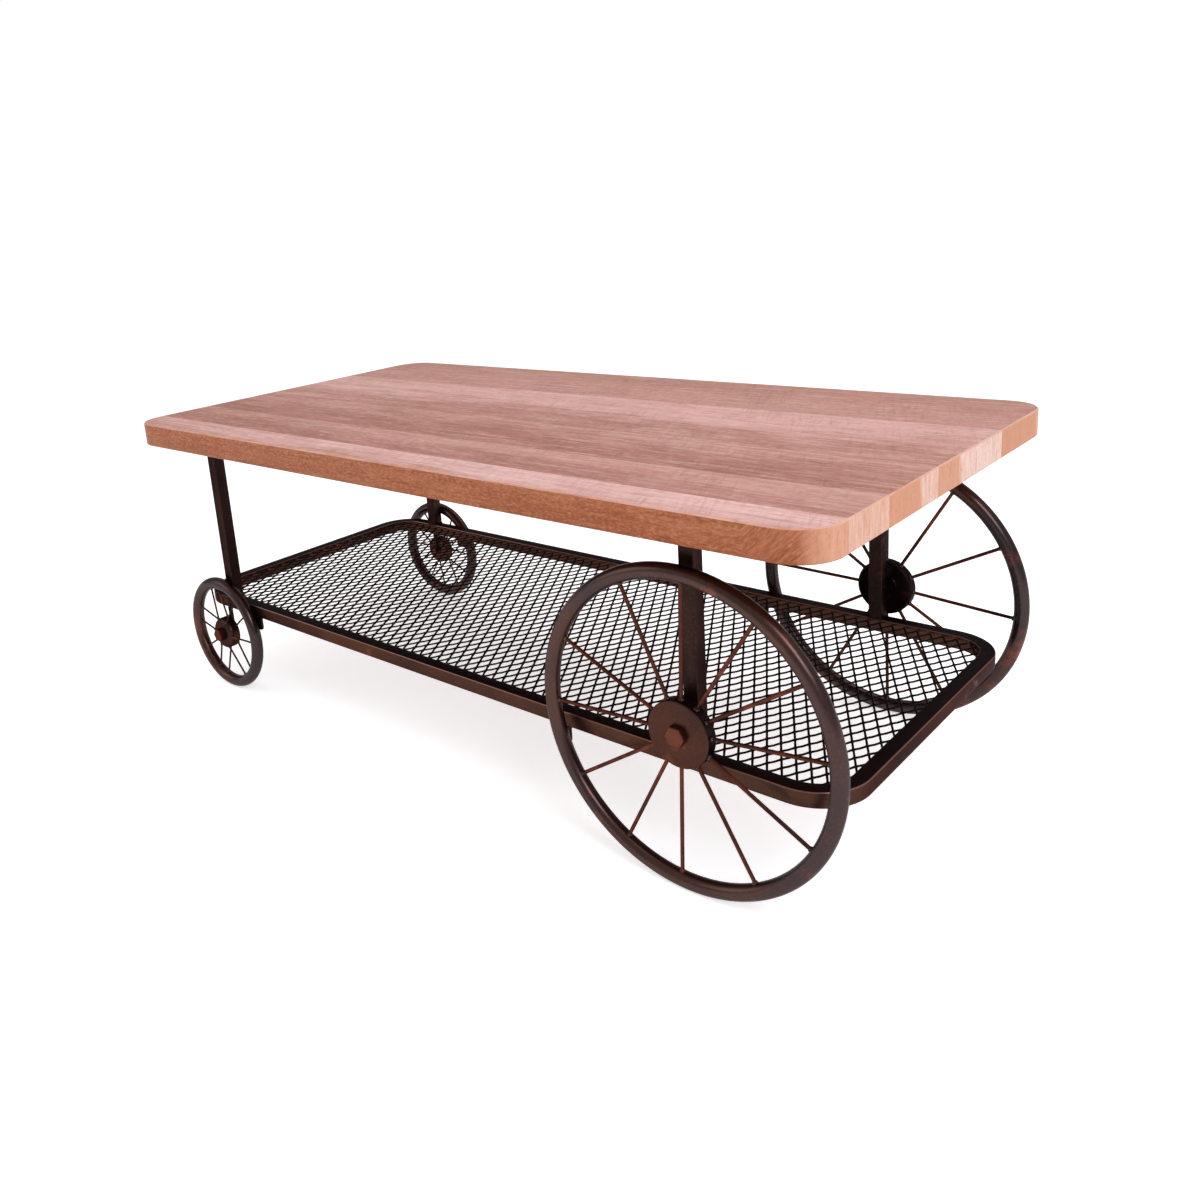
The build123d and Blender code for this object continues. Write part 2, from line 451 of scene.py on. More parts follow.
    def _edge(self, graph: Graph, place: Socket) -> Socket:
        """Return the long edge's colour: orange-brown with fine streaks that rise at the right corner.

        Args:
            graph: The material's nodes.
            place: The place on the object.

        Returns:
            The colour socket.
        """
        x, y, z = (graph.part(place, axis) for axis in "XYZ")
        base = graph.mix(graph.span(z, *EDGE_HEIGHTS), *EDGE_WOOD)
        risen_z = graph.math("SUBTRACT", z, graph.span(x, 0.52, 0.6, 0.0, 0.08))
        risen = graph.fill(graph.node("CombineXYZ"), x, y, risen_z)
        streak = graph.noise(risen, (34.0, 60.0, 330.0), 5.0, 0.68)
        base = graph.tint(base, STREAK[0], streak, 0.5, 0.66, 0.4)
        base = graph.tint(base, STREAK[1], streak, 0.48, 0.32, 0.4)
        fleck = graph.noise(risen, (170.0, 240.0, 430.0), 4.0, 0.7)
        base = graph.tint(base, FLECK[0], fleck, 0.5, 0.64, 0.55)
        base = graph.tint(base, FLECK[1], fleck, 0.48, 0.34, 0.5)
        wave = graph.noise(risen, (6.0, 30.0, 110.0), 3.0, 0.5)
        return graph.tint(base, WAVE, wave, 0.4, 0.7, 0.35)

    def _ends(self, graph: Graph, place: Socket) -> Socket:
        """Return the sawn ends' colour: orange wood that gives way to cream across the plank.

        Args:
            graph: The material's nodes.
            place: The place on the object.

        Returns:
            The colour socket.
        """
        wobble = graph.noise(place, (1.0, 26.0, 12.0), 2.0, 0.5)
        moved = graph.math("ADD", graph.part(place, "Y"), graph.span(wobble, 0.3, 0.7, -0.005, 0.005))
        turn = self.front + (self.back - self.front) * self.look.end_turn
        tones = (between(*END_WOOD, self.look.end_front), between(*END_WOOD, self.look.end_back))
        base = graph.mix(graph.span(moved, turn - END_SOFTNESS, turn + END_SOFTNESS), *tones)
        ripple = graph.noise(place, (1.0, 230.0, 30.0), 4.0, 0.6)
        base = graph.tint(base, RIPPLE, ripple, 0.45, 0.7, 0.55)
        pore = graph.noise(place, (1.0, 900.0, 200.0), 2.0, 0.6)
        return graph.tint(base, PORE, pore, 0.52, 0.72, 0.42)


@dataclass(frozen=True)
class SteelFinish:
    """Satin bronze-brown paint that clouds to a warmer brown, rubbed to rust red in spots. Where a colour
    above is given, faces that look up get it as painted shade, and their rounded edges a painted highlight.

    Attributes:
        name: The material's name.
        base: The paint.
        warm: The paint where it is handled.
        rust: The colour of the rubbed spots.
        above: Painted shade: a darker colour for faces that look up, where given.
        rubbed: Share of the surface that is rubbed, from 0 to 1.
        roughness: Roughness of the paint.
        coat: Strength of the wax over it.
    """

    name: str
    base: Colour = srgb(58, 41, 37)
    warm: Colour = srgb(86, 55, 42)
    rust: Colour = srgb(136, 62, 38)
    above: Colour | None = None
    rubbed: float = 0.2
    roughness: float = 0.34
    coat: float = 0.0

    def material(self) -> Material:
        """Build the steel's material.

        Returns:
            The finished material.
        """
        graph = Graph(bpy.data.materials.new(self.name))
        place = graph.place()
        cloud = graph.noise(place, (7.0, 7.0, 7.0), 4.0, 0.55)
        spot = graph.noise(place, (24.0, 24.0, 24.0), 5.0, 0.62, (3.1, 1.7, 5.3))
        speck = graph.noise(place, (330.0, 330.0, 330.0), 4.0, 0.65)
        colour = graph.mix(graph.span(cloud, 0.38, 0.64), self.base, self.warm)
        start = 0.7 - 0.26 * self.rubbed
        grainy = graph.math("ADD", spot, graph.span(speck, 0.3, 0.7, -0.04, 0.04))
        rusted = graph.span(grainy, start - 0.06, start + 0.1, 0.0, MOST_RUST)
        colour = graph.mix(rusted, colour, self.rust)
        colour = graph.tint(colour, SPECK[0], speck, 0.54, 0.78, 0.35)
        colour = graph.tint(colour, SPECK[1], speck, 0.46, 0.28, 0.14)
        if self.above is not None:
            up = graph.part(graph.normal(), "Z")
            # Painted highlight on the rounded edges between the top and the sides
            highlight_share = graph.math("MULTIPLY", graph.span(up, 0.15, 0.45), graph.span(up, 0.97, 0.85))
            # Painted shade on faces that look up
            colour = graph.mix(graph.span(up, 0.6, 0.95), colour, self.above)
            colour = graph.mix(graph.math("MULTIPLY", highlight_share, 0.7), colour, EDGE_HIGHLIGHT)
        metal = graph.span(rusted, 0.0, MOST_RUST, PAINT_METAL, RUST_METAL)
        rough = graph.span(cloud, 0.3, 0.7, self.roughness - 0.04, self.roughness + 0.08)
        bump = graph.bump(speck, 0.00006, 0.35)
        return graph.surface(colour, rough, bump, metal, 0.3, GRAZING_TINT, self.coat)


# Mesh making ----------------------------------------------------------------------


def new_object(name: str, mesh: BMesh, material: Material,
               smooth_below: float = 40.0) -> Object:
    """Put a finished mesh into the scene.

    Args:
        name: The piece's name.
        mesh: The mesh, which is freed.
        material: Its finish.
        smooth_below: Edges sharper than this angle, in degrees, stay sharp.

    Returns:
        The new object.
    """
    bmesh.ops.recalc_face_normals(mesh, faces=mesh.faces[:])
    data = bpy.data.meshes.new(name)
    mesh.to_mesh(data)
    mesh.free()
    data.materials.append(material)
    data.shade_smooth()
    data.set_sharp_from_angle(angle=math.radians(smooth_below))
    made = bpy.data.objects.new(name, data)
    bpy.context.scene.collection.objects.link(made)
    log.info("%s built with %d faces", name, len(data.polygons))
    return made


def loft(mesh: BMesh, loops: list[list[Vector]], closed: bool = False) -> None:
    """Join loops of as many points into one skin.

    Args:
        mesh: The mesh to add to.
        loops: The loops' points.
        closed: Whether the last loop meets the first. If not, both ends get a cap.
    """
    rings = [[mesh.verts.new(point) for point in points] for points in loops]
    for first, second in zip(rings, rings[1:] + (rings[:1] if closed else [])):
        for index, vert in enumerate(first):
            after = (index + 1) % len(first)
            mesh.faces.new((vert, first[after], second[after], second[index]))
    if not closed:
        mesh.faces.new(rings[0])
        mesh.faces.new(rings[-1])


def circle(middle: Vector, one: Vector, other: Vector, radius: float, sides: int) -> list[Vector]:
    """Place points round a circle, from the direction of one towards that of the other."""
    turns = (2 * math.pi * step / sides for step in range(sides))
    return [middle + (one * math.cos(turn) + other * math.sin(turn)) * radius for turn in turns]


def square_loop(size: float, rounding: float, steps: int = 4) -> list[tuple[float, float]]:
    """Outline a square tube with rounded corners, about its middle.

    Args:
        size: Width of the tube.
        rounding: Radius of its corners.
        steps: Faces in each corner.

    Returns:
        The outline's points.
    """
    outline = []
    reach = size / 2 - rounding
    for corner in range(4):
        for step in range(steps + 1):
            angle = math.radians(corner * 90 + 90 * step / steps)
            middle_x = reach if corner in (0, 3) else -reach
            middle_y = reach if corner in (0, 1) else -reach
            outline.append((middle_x + rounding * math.cos(angle), middle_y + rounding * math.sin(angle)))
    return outline


# Faces round each turned or swept shape
RIM_STEPS = 160
TUBE_SIDES = 28
ROD_SIDES = 14
HUB_STEPS = 96
BEAD_SIDES = 10


# Sub-assemblies -------------------------------------------------------------------


@dataclass
class Tabletop:
    """Five planks glued edge to edge.

    Attributes:
        looks: Each plank's tones, from the front.
    """

    looks: tuple[PlankLook, ...] = (
        PlankLook(0.46, 0.96, 0.22, 0.5, 0.2, 0.2, 0.5),
        PlankLook(0.08, 0.5, 0.42, 0.55, 0.57, 0.57, 0.5),
        PlankLook(0.05, 0.51, 0.66, 0.1, 0.0, 0.8, 0.61),
        PlankLook(0.21, 0.78, 0.38, 0.0, 0.1, 1.0, 0.31),
        PlankLook(0.42, 0.2, 0.72, 0.0, 0.0, 0.42, 0.71),
    )

    def dress(self) -> None:
        """Give each plank a finish that follows its own width."""
        for number, look in enumerate(self.looks, 1):
            name = f"top_board_{number}"
            low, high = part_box(name)
            paint(name, PlankFinish(low.y, high.y, number, look).material())


@dataclass
class Legs:
    """Four square-tube legs with rounded edges, and their top plates."""

    rounding: float = 0.0016
    screw_head: float = 0.0042
    screw_spread: float = 0.021
    finish: SteelFinish = SteelFinish("leg_steel", srgb(42, 30, 27), srgb(58, 39, 33), rubbed=0.08)
    screw_finish: SteelFinish = SteelFinish("screw_steel", srgb(46, 40, 40), srgb(80, 68, 64), rubbed=0.05)

    def build(self) -> None:
        """Round the legs' edges, dress the plates and add their screws."""
        material = self.finish.material()
        screw_material = self.screw_finish.material()
        for side in Side:
            for end in ("left", "right"):
                name = f"leg_{side.word}_{end}"
                low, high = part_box(name)
                middle = (low + high) / 2
                mesh = bmesh.new()
                outline = square_loop(high.x - low.x, self.rounding)
                loft(mesh, [
                    [Vector((middle.x + x, middle.y + y, z)) for x, y in outline] for z in (low.z, high.z)
                ])
                made = new_object(f"{name}_tube", mesh, material)
                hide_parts(name)
                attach(made, "table")
                paint(f"leg_plate_{side.word}_{end}", material)
                self._screws(f"{side.word}_{end}", screw_material)

    def _screws(self, where: str, material: Material) -> None:
        """Put a cross-slotted pan head near each corner of a plate's underside.

        Args:
            where: Which leg's plate.
            material: The screws' finish.
        """
        low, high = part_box(f"leg_plate_{where}")
        middle = (low + high) / 2
        mesh = bmesh.new()
        for across in (-1, 1):
            for back in (-1, 1):
                spread = Vector((across, back, 0)) * self.screw_spread
                self._screw(mesh, Vector((middle.x, middle.y, low.z)) + spread)
        made = new_object(f"plate_screws_{where}", mesh, material, 30.0)
        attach(made, "table")

    def _screw(self, mesh: BMesh, spot: Vector) -> None:
        """Add one pan head that hangs from a spot, its middle pressed in to a cross.

        Args:
            mesh: The mesh to add to.
            spot: Middle of the screw's seat.
        """
        steps = 24
        profile = ((1.0, 0.0), (1.0, 0.0008), (0.9, 0.0016), (0.66, 0.0022), (0.4, 0.0025), (0.16, 0.0026))
        loops = []
        for share, drop in profile:
            points = []
            for step in range(steps):
                turn = 2 * math.pi * step / steps
                in_cross = share < 0.7 and step % 6 in (0, 1, 5)
                depth = drop - (0.0012 if in_cross and share < 0.5 else 0.0)
                reach = self.screw_head * share
                points.append(spot + Vector((reach * math.cos(turn), reach * math.sin(turn), -depth)))
            loops.append(points)
        loft(mesh, loops)


@dataclass
class ShelfFrame:
    """The square-tube frame, one tube bent round four corners."""

    size: float = 0.019
    corner: float = 0.064
    rounding: float = 0.0016
    bend_steps: int = 20
    # The frame's top faces get painted shade, and their rounded edges a painted highlight.
    finish: SteelFinish = SteelFinish(
        "frame_steel", srgb(60, 42, 35), srgb(82, 54, 42), above=srgb(46, 37, 39), rubbed=0.1
    )

    def build(self) -> None:
        """Sweep the tube once round the frame."""
        mesh = bmesh.new()
        outline = square_loop(self.size, self.rounding)
        loops = [[point + out * x + Vector((0, 0, z)) for x, z in outline] for point, out in self._stations()]
        loft(mesh, loops, closed=True)
        made = new_object("shelf_frame_tube", mesh, self.finish.material())
        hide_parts("shelf_frame")
        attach(made, "table")

    def _stations(self) -> list[tuple[Vector, Vector]]:
        """Find points round the middle of the tube, from one bend to the next.

        Returns:
            The points, each with the direction out of the frame.
        """
        low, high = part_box("shelf_frame")
        middle = (low + high) / 2
        half_x = (high.x - low.x) / 2
        half_y = (high.y - low.y) / 2
        bend = self.corner - self.size / 2
        stations = []
        for quarter, (along, back) in enumerate(((1, 1), (-1, 1), (-1, -1), (1, -1))):
            centre = middle + Vector((along * (half_x - self.corner), back * (half_y - self.corner), 0))
            for step in range(self.bend_steps + 1):
                turn = math.radians(90 * (quarter + step / self.bend_steps))
                out = Vector((math.cos(turn), math.sin(turn), 0))
                stations.append((centre + out * bend, out))
        return stations


@dataclass
class ExpandedShelf:
    """The shelf of expanded metal: diamonds of slanting strands that meet in knots.

    Attributes:
        pitch: Length of a diamond.
        rise: Its width.
        strand: Width of a strand.
        thickness: Thickness of a strand.
        steps: Sections in each side of a diamond.
        corner: Radius of the shelf's corners.
        tilts: Degrees by which the strands of each way are turned about their length.
        lift: How far a strand rises and falls on its way.
        swell: How much wider it gets at a knot.
        ease: Width of the bevel along its edges.
        finish: Its finish.
    """

    pitch: float = 0.01767
    rise: float = 0.031
    strand: float = 0.0027
    thickness: float = 0.0016
    steps: int = 4
    corner: float = 0.0448
    tilts: tuple[float, float] = (-5.0, -24.0)
    lift: float = 0.0003
    swell: float = 0.2
    ease: float = 0.0004
    finish: SteelFinish = SteelFinish("mesh_steel", srgb(28, 20, 19), srgb(40, 28, 25), rubbed=0.06)

    def build(self) -> None:
        """Lay both directions of strands and clip them to the frame's inside."""
        low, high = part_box("shelf_mesh_lower")
        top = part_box("shelf_mesh_upper")[1].z
        middle_x = (low.x + high.x) / 2
        self.half_x = (high.x - low.x) / 2
        self.half_y = (high.y - low.y) / 2
        self.centre_z = (low.z + top) / 2
        mesh = bmesh.new()
        reach = math.ceil((self.half_x + self.half_y * self.pitch / self.rise) / self.pitch) + 1
        for way in (1, -1):
            for number in range(-reach, reach + 1):
                self._strand(mesh, number * self.pitch, way)
        for vert in mesh.verts:
            vert.co.x += middle_x
        made = new_object("shelf_mesh_expanded", mesh, self.finish.material(), 50.0)
        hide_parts("shelf_mesh_upper", "shelf_mesh_lower")
        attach(made, "table")

    def _strand(self, mesh: BMesh, start: float, way: int) -> None:
        """Add one strand across the shelf.

        Args:
            mesh: The mesh to add to.
            start: Where the strand crosses the shelf's middle line.
            way: 1 leans right as it goes back, -1 leans left.
        """
        lean = Vector((way * self.pitch / 2, self.rise / 2, 0))
        side = lean.length
        along = lean.normalized()
        across = Vector((along.y, -along.x, 0))
        inside = [
            share
            for share in self._shares(side)
            if self._within(start + along.x * share, along.y * share)
        ]
        if len(inside) < 2:
            return
        tilt = math.radians(self.tilts[0] if way > 0 else self.tilts[1])
        loops = []
        for share in inside:
            phase = 2 * math.pi * (share / side)
            lift = self.lift * way * math.cos(phase)
            widen = 1.0 + self.swell * max(0.0, math.cos(phase)) ** 3
            centre = Vector((start, 0, self.centre_z + lift)) + along * share
            loops.append(self._section(centre, across, tilt, widen))
        loft(mesh, loops)

    def _shares(self, side: float) -> list[float]:
        """Find the distances along a strand at which it gets a section.

        Args:
            side: Length of a diamond's side.

        Returns:
            The distances.
        """
        cells = math.ceil(self.half_y / (self.rise / 2)) + 1
        count = self.steps
        return [side * (cell + step / count) for cell in range(-cells, cells) for step in range(count)]

    def _within(self, x: float, y: float) -> bool:
        """Tell whether a point from the shelf's middle lies inside its rounded outline.

        Args:
            x: Distance from the middle along X.
            y: Distance from the middle along Y.

        Returns:
            Whether it lies inside.
        """
        out_x = max(0.0, abs(x) - (self.half_x - self.corner))
        out_y = max(0.0, abs(y) - (self.half_y - self.corner))
        return math.hypot(out_x, out_y) <= self.corner

    def _section(self, centre: Vector, across: Vector, tilt: float, widen: float) -> list[Vector]:
        """Outline a strand: a flat bar with eased corners, turned about its length.

        Args:
            centre: Middle of the section.
            across: Direction across the strand.
            tilt: Its turn about its length, in radians.
            widen: Its width over the plain width.

        Returns:
            The outline's points.
        """
        half_w = self.strand / 2 * widen
        half_t = self.thickness / 2
        ease = self.ease
        outline = (
            (half_w, half_t - ease), (half_w - ease, half_t),
            (-half_w + ease, half_t), (-half_w, half_t - ease),
            (-half_w, -half_t + ease), (-half_w + ease, -half_t),
            (half_w - ease, -half_t), (half_w, -half_t + ease),
        )
        cos, sin = math.cos(tilt), math.sin(tilt)
        return [centre + across * (x * cos - z * sin) + Vector((0, 0, x * sin + z * cos)) for x, z in outline]


@dataclass(frozen=True)
class WheelBuild:
    """What sets one size of wheel apart.

    Attributes:
        hub_radius: Radius of the hub.
        hub_half: Half the hub's thickness.
        hub_easing: Radius to which the hub's front edge is rounded.
        cup_wall: Wall of a cup-shaped hub, or 0 for a solid one.
        boss_radius: Radius of the boss behind the hub, or 0 for none.
        bore: Radius of the hole for the bolt.
        spoke: Radius of a spoke.
        stagger: How far the spokes' inner ends stand before and behind the middle, by turns.
        bead: Radius of a weld bead.
    """

    hub_radius: float
    hub_half: float
    hub_easing: float
    cup_wall: float
    boss_radius: float
    bore: float
    spoke: float
    stagger: float
    bead: float


BUILDS = {
    WheelSize.LARGE: WheelBuild(0.039, 0.008, 0.0016, 0.003, 0.011, 0.00505, 0.0023, 0.0, 0.0036),
    WheelSize.SMALL: WheelBuild(0.026, 0.010, 0.0075, 0.0, 0.0, 0.00405, 0.0015, 0.0065, 0.0025),
}

# Degrees by which each hand-welded spoke stands off its even place round the hub
SWAYS = {
    "large_front": (6, 3, -2, -2, -5, 5, 3, 4, 3, -2, 0, 1),
    "large_back": (1, 4, -3, 0, 1, 2, 4, 1, 0, -1, 0, -1),
    "small_front": (-2, 4, -2, 6, -8, 6, -4, 1, 2, -10, -1, -12),
    "small_back": (0,) * 12,
}


@dataclass
class Wheel:
    """A spoked wheel: rim tube, rod spokes with weld beads at both ends, and hub.

    Attributes:
        size: Large or small.
        side: Front or back.
        rim_finish: Finish of the rim.
        spoke_finish: Finish of the spokes.
        hub_finish: Finish of the hub.
        shaded_inside_finish: Darker steel of a cup-shaped hub's side and inside: painted shade.
        tube: Radius of the rim tube.
    """

    size: WheelSize
    side: Side
    rim_finish: Material
    spoke_finish: Material
    hub_finish: Material
    shaded_inside_finish: Material
    tube: float = 0.0095

    def __post_init__(self) -> None:
        """Read the wheel's place from its nodes."""
        self.where = f"{self.size.value}_{self.side.word}"
        self.make = BUILDS[self.size]
        self.sways = SWAYS[self.where]
        low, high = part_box(f"rim_{self.where}")
        self.centre = (low + high) / 2
        self.radius = (high.z - low.z) / 2
        hub_low, hub_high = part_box(f"hub_{self.where}")
        self.rear = max(self.centre.y - hub_low.y, hub_high.y - self.centre.y)

    def build(self) -> None:
        """Build the wheel in its own plane and hang it on its body."""
        self._keep(self._rim(), f"rim_{self.where}", "dark_bronze")
        self._keep(self._spokes(), f"spokes_{self.where}", "coppered_steel")
        self._keep(self._hub(), f"hub_{self.where}", "coppered_steel")
        beads = self._beads()
        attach(beads, f"wheel_{self.where}")

    def _keep(self, made: Object, node: str, slot: str) -> None:
        """Let a piece stand for a node of this wheel.

        Args:
            made: The piece.
            node: The node's name.
            slot: Not used.
        """
        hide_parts(node)
        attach(made, f"wheel_{self.where}")

    def _spot(self, angle: float, distance: float, out: float) -> Vector:
        """Find a point of the wheel.

        Args:
            angle: Degrees round the wheel from the level.
            distance: Distance from the axle.
            out: Distance outwards from the middle plane.

        Returns:
            The point in the table's frame.
        """
        turn = math.radians(angle)
        outward = self.side.value
        return self.centre + Vector(
            (-outward * distance * math.cos(turn), outward * out, distance * math.sin(turn))
        )

    def _spoke_ends(self) -> list[tuple[Vector, Vector]]:
        """Find where each spoke meets the hub and the rim.

        Returns:
            Each spoke's inner and outer end.
        """
        ends = []
        for number, sway in enumerate(self.sways):
            angle = number * 360 / len(self.sways) + sway
            set_off = self.make.stagger if number % 2 == 0 else -self.make.stagger
            inner = self._spot(angle, self.make.hub_radius - 0.0005, set_off)
            outer = self._spot(angle, self.radius - 2 * self.tube + 0.0005, 0)
            ends.append((inner, outer))
        return ends

    def _rim(self) -> Object:
        """Build the rim: a round tube bent to a ring.

        Returns:
            The new object.
        """
        mesh = bmesh.new()
        middle = self.radius - self.tube
        loops = []
        for step in range(RIM_STEPS):
            angle = 360 * step / RIM_STEPS
            bends = (2 * math.pi * turn / TUBE_SIDES for turn in range(TUBE_SIDES))
            loops.append([
                self._spot(angle, middle + self.tube * math.cos(bend), self.tube * math.sin(bend))
                for bend in bends
            ])
        loft(mesh, loops, closed=True)
        return new_object(f"rim_tube_{self.where}", mesh, self.rim_finish)

    def _spokes(self) -> Object:
        """Build the spokes: round rods from the hub to the rim.

        Returns:
            The new object.
        """
        mesh = bmesh.new()
        for start, end in self._spoke_ends():
            along = (end - start).normalized()
            cross = along.cross(Vector((0, 1, 0))).normalized()
            level = cross.cross(along)
            middles = (start, start.lerp(end, 0.33), start.lerp(end, 0.66), end)
            loft(mesh, [circle(middle, level, cross, self.make.spoke, ROD_SIDES) for middle in middles])
        return new_object(f"spoke_rods_{self.where}", mesh, self.spoke_finish)

    def _hub(self) -> Object:
        """Build the hub: a turned disc or cup, its front edge rounded.

        Returns:
            The new object.
        """
        mesh = bmesh.new()
        profile = self._hub_profile()
        loft(mesh, [
            [self._spot(360 * step / HUB_STEPS, distance, out) for distance, out in profile]
            for step in range(HUB_STEPS)
        ], closed=True)
        # On a cup-shaped hub, the faces behind the rounded front edge get the darker material: painted shade
        # on the side and in the cup.
        front = self.make.hub_half - self.make.hub_easing * 1.1
        for face in mesh.faces:
            out = (face.calc_center_median() - self.centre).y * self.side.value
            face.material_index = int(bool(self.make.cup_wall) and out < front)
        made = new_object(f"hub_disc_{self.where}", mesh, self.hub_finish, 35.0)
        made.data.materials.append(self.shaded_inside_finish)
        return made

    def _hub_profile(self) -> list[tuple[float, float]]:
        """Outline half a hub, as distances from the axle and from the middle plane.

        Returns:
            The outline's points.
        """
        make = self.make
        profile = [(make.bore, make.hub_half)]
        profile += eased(make.hub_radius, make.hub_half, make.hub_easing, 1)
        rear_easing = min(make.hub_easing, 0.004) if not make.cup_wall else 0.0008
        profile += eased(make.hub_radius, -make.hub_half, rear_easing, -1)
        if make.cup_wall:
            inside = make.hub_radius - make.cup_wall
            floor = make.hub_half - make.cup_wall
            profile += [(inside, -make.hub_half), (inside, floor - 0.002), (inside - 0.002, floor)]
        if make.boss_radius:
            profile += [(make.boss_radius + 0.001, make.hub_half - make.cup_wall)]
            profile += [(make.boss_radius, make.hub_half - make.cup_wall - 0.001)]
            profile += [(make.boss_radius, -self.rear)]
        profile.append((make.bore, -self.rear))
        return profile

    def _beads(self) -> Object:
        """Build the weld beads where the spokes meet the rim and the hub.

        Returns:
            The new object.
        """
        mesh = bmesh.new()
        for number, (inner, outer) in enumerate(self._spoke_ends()):
            for end, centre in enumerate((inner, outer)):
                made = bmesh.ops.create_icosphere(mesh, subdivisions=2, radius=self.make.bead)
                for vert in made["verts"]:
                    rough = noise.noise(vert.co * 420 + Vector((number, end * 9, self.radius * 90)))
                    vert.co += vert.co.normalized() * rough * 0.2 * self.make.bead + centre
        return new_object(f"weld_beads_{self.where}", mesh, self.rim_finish, 180.0)


def eased(distance: float, out: float, radius: float, way: int) -> list[tuple[float, float]]:
    """Round an outer corner of a turned profile.

    Args:
        distance: The corner's distance from the axle.
        out: Its distance from the middle plane.
        radius: Radius of the rounding.
        way: 1 where the profile goes from the front face to the side, -1 from the side to the rear.

    Returns:
        The profile's points.
    """
    steps = 7
    points = []
    for step in range(steps):
        share = step / (steps - 1)
        turn = math.radians(90 - 90 * share if way > 0 else -90 * share)
        middle = out - way * radius
        points.append((distance - radius + radius * math.cos(turn), middle + radius * math.sin(turn)))
    return points


@dataclass
class Welds:
    """Weld beads where the legs and tabs meet the shelf frame.

    Attributes:
        bead: Radius of a bead.
        step: Distance between two sections of a bead.
        finish: Finish of the beads.
    """

    bead: float = 0.0013
    step: float = 0.0012
    finish: SteelFinish = SteelFinish("weld_steel", srgb(40, 29, 27), srgb(62, 41, 34), rubbed=0.1)

    def build(self) -> None:
        """Run a bead round each foot, and along the outside of each tab."""
        material = self.finish.material()
        frame_low, frame_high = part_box("shelf_frame")
        for side in Side:
            for end in ("left", "right"):
                low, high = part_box(f"leg_{side.word}_{end}")
                inside = self._inside_corners(low, high, side, frame_high.z)
                self._keep(f"foot_weld_{side.word}_{end}", inside, material)
            for node in (f"rim_tab_large_{side.word}", f"rim_tab_small_{side.word}"):
                low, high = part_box(node)
                y = high.y if side is Side.FRONT else low.y
                run = [Vector((x, y, frame_low.z)) for x in (low.x, high.x)]
                self._keep(f"weld_{node}", run, material)

    def _inside_corners(self, low: Vector, high: Vector, side: Side, level: float) -> list[Vector]:
        """Find the line round the three sides of a foot that lie inside the frame's outer face.

        Args:
            low: The leg's lowest corner.
            high: Its highest corner.
            side: Which side of the table it is on.
            level: Height of the frame's top.

        Returns:
            The line's corners.
        """
        outer, inner = (low.y, high.y) if side is Side.FRONT else (high.y, low.y)
        inner += self.bead * 0.2 * side.value
        corners = ((low.x, outer), (low.x, inner), (high.x, inner), (high.x, outer))
        return [Vector((x, y, level)) for x, y in corners]

    def _keep(self, name: str, corners: list[Vector], material: Material) -> None:
        """Sweep a rough bead along a line of corners and fix it to the table.

        Args:
            name: The piece's name.
            corners: The line's corners.
            material: Its finish.
        """
        mesh = bmesh.new()
        for first, second in zip(corners, corners[1:]):
            along = (second - first).normalized()
            across = Vector((-along.y, along.x, 0))
            count = max(2, round((second - first).length / self.step))
            loops = []
            for number in range(count + 1):
                middle = first.lerp(second, number / count)
                ripple = 0.82 + 0.18 * math.cos(number * 1.9) + 0.14 * noise.noise(middle * 700)
                loops.append(circle(middle, across, Vector((0, 0, 1)), self.bead * ripple, BEAD_SIDES))
            loft(mesh, loops)
        made = new_object(name, mesh, material, 60.0)
        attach(made, "table")


def paint(name: str, material: Material) -> None:
    """Give a carried-over node one material.

    Args:
        name: The node.
        material: Its finish.
    """
    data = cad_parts[name].data
    data.materials.clear()
    data.materials.append(material)
    log.info("%s dressed", name)


@dataclass
class RimTab:
    """A plate under the shelf frame that holds a rim: flared at the top, its lower corners round.

    Attributes:
        node: The node it stands for.
        finish: Its finish.
        trim: How much narrower than the node it is, on its left.
        flare: How far its sides spread at the top.
        corner: Radius of its lower corners.
        easing: Width of the bevel round its faces.
    """

    node: str
    finish: Material
    trim: float = 0.0
    flare: float = 0.003
    corner: float = 0.005
    easing: float = 0.0005

    def build(self) -> None:
        """Build the plate inside the node's box."""
        low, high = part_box(self.node)
        mesh = bmesh.new()
        loops = []
        bevel = self.easing
        for y, inset in ((low.y, bevel), (low.y + bevel, 0.0), (high.y - bevel, 0.0), (high.y, bevel)):
            outline = self._outline(low.x + self.trim + inset, high.x - inset, low.z + inset, high.z)
            loops.append([Vector((x, y, z)) for x, z in outline])
        loft(mesh, loops)
        made = new_object(f"{self.node}_plate", mesh, self.finish, 30.0)
        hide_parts(self.node)
        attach(made, "table")

    def _outline(self, left: float, right: float, bottom: float, top: float) -> list[tuple[float, float]]:
        """Outline the plate as seen from the front, from its upper right corner round below.

        Args:
            left: Its left end.
            right: Its right end.
            bottom: Its lower end.
            top: Its upper end.

        Returns:
            The outline's points.
        """
        steps = 6
        points = []
        for way, end in ((1, right), (-1, left)):
            side = end - way * self.flare
            half = []
            for step in range(steps + 1):
                turn = math.radians(90 * step / steps)
                spread = self.flare * (1 - math.sin(turn))
                half.append((side + way * spread, top - self.flare * 1.5 * (1 - math.cos(turn))))
            for step in range(steps + 1):
                turn = math.radians(90 * step / steps)
                along = side - way * self.corner * (1 - math.cos(turn))
                half.append((along, bottom + self.corner * (1 - math.sin(turn))))
            points += half if way > 0 else half[::-1]
        return points


